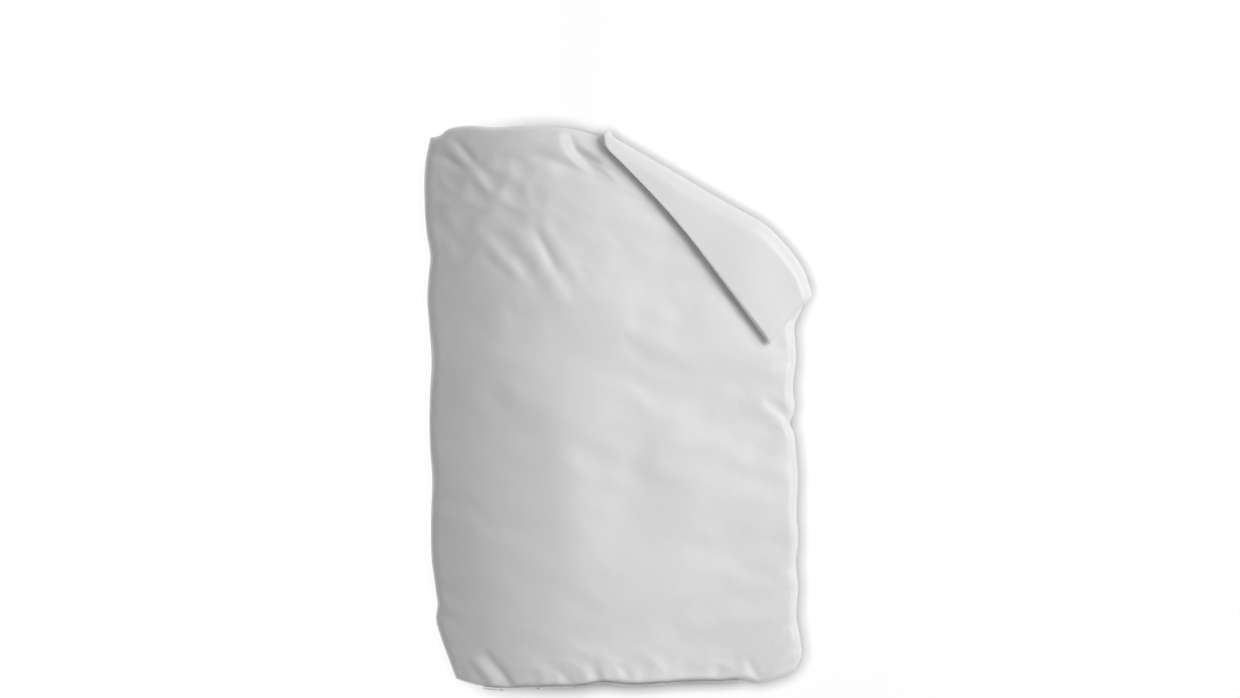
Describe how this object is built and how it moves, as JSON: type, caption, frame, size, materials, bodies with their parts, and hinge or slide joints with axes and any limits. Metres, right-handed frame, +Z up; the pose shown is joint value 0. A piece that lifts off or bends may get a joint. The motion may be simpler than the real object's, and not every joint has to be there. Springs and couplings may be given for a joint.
{
  "type": "duvet",
  "caption": "Filled single duvet in a plain white cover, lying flat with one head corner turned back over the top.",
  "frame": {"origin": "middle of the flat underside, where the duvet rests on a mattress or a table", "axes": "+Y towards the head end, +X towards the side whose head corner is turned back, +Z up"},
  "size_m": [1.3557, 1.956, 0.103],
  "materials": {
    "cover_cotton": "satin",
    "ticking_cotton": "matte",
    "fibre_fill": "matte",
    "binding_tape": "matte",
    "label_tape": "satin",
    "popper_plastic": "gloss"
  },
  "bodies": {
    "duvet": {"cover_under_panel": "cover_cotton", "cover_top_panel": "cover_cotton", "left_seam": "cover_cotton", "right_seam": "cover_cotton", "head_seam": "cover_cotton", "foot_seam_left": "cover_cotton", "foot_seam_right": "cover_cotton", "lower_hem": "cover_cotton", "popper_studs": "popper_plastic", "cover_ties": "binding_tape", "care_label": "label_tape", "insert_under_ticking": "ticking_cotton", "insert_top_ticking": "ticking_cotton", "insert_binding": "binding_tape", "insert_loops": "binding_tape", "insert_label": "label_tape", "fill_row_1": "fibre_fill", "fill_row_2": "fibre_fill", "fill_row_3": "fibre_fill", "fill_row_4": "fibre_fill", "fill_row_5": "fibre_fill", "fill_row_6": "fibre_fill", "lengthwise_baffles": "ticking_cotton", "crosswise_baffles": "ticking_cotton"},
    "turned_corner": {"corner_topside_panel": "cover_cotton", "corner_underside_panel": "cover_cotton", "corner_head_seam": "cover_cotton", "corner_side_seam": "cover_cotton", "corner_topside_ticking": "ticking_cotton", "corner_underside_ticking": "ticking_cotton", "corner_binding": "binding_tape", "corner_fill": "fibre_fill", "corner_baffles": "ticking_cotton", "corner_loop": "binding_tape", "corner_tie": "binding_tape"},
    "closure_flap": {"upper_hem": "cover_cotton", "popper_sockets": "popper_plastic"}
  },
  "joints": [
    {"name": "corner_turn", "type": "hinge", "parent": "duvet", "child": "turned_corner", "pos_m": [0.29336, 0.76008, 0.0585], "axis": [-0.8434, 0.5373, 0], "range_deg": [0, 178]},
    {"name": "closure_lift", "type": "hinge", "parent": "duvet", "child": "closure_flap", "pos_m": [0, -0.9792, 0.041], "axis": [-1, 0, 0], "range_deg": [0, 120]}
  ]
}
